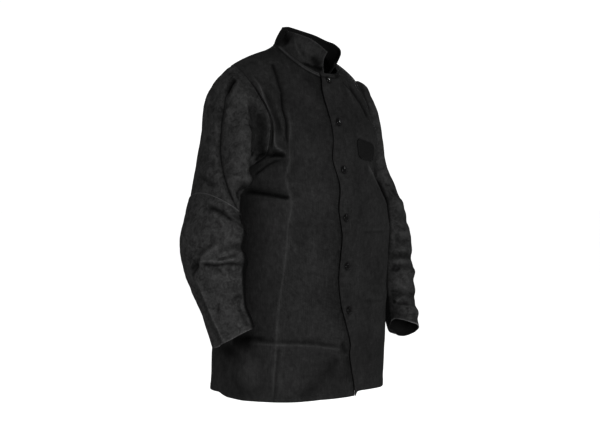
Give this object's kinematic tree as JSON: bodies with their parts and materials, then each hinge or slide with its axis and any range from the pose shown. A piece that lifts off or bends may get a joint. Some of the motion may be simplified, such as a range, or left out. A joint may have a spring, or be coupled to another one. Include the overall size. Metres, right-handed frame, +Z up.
{
  "type": "welding jacket",
  "caption": "Hip-length work jacket with a cotton body, split-leather sleeves, a short stand collar and a snap front, in the shape it takes when worn.",
  "frame": {"origin": "in the neck opening, on the body's middle plane, at the height of the collar seam at the nape", "axes": "+Z up the body, the front opening faces -Y, the wearer's left is +X"},
  "size_m": [0.6029, 0.3049, 0.8041],
  "materials": {
    "cotton": "black flame-resistant cotton twill, smooth and matt",
    "leather": "black split cowhide, suede side out, mottled and matt",
    "snap_metal": "black enamelled metal, glossy",
    "patch": "black moulded patch, blank, satin"
  },
  "bodies": {
    "root": {"back_panel": "cotton", "right_front_panel": "cotton", "left_front_panel": "cotton", "collar": "cotton", "right_upper_sleeve": "leather", "right_forearm": "leather", "left_upper_sleeve": "leather", "left_forearm": "leather", "chest_patch": "patch", "snap_1": "snap_metal", "snap_2": "snap_metal", "snap_3": "snap_metal", "snap_4": "snap_metal", "snap_5": "snap_metal", "snap_6": "snap_metal", "stud_1": "snap_metal", "stud_2": "snap_metal", "stud_3": "snap_metal", "stud_4": "snap_metal", "stud_5": "snap_metal", "stud_6": "snap_metal"}
  },
  "joints": []
}
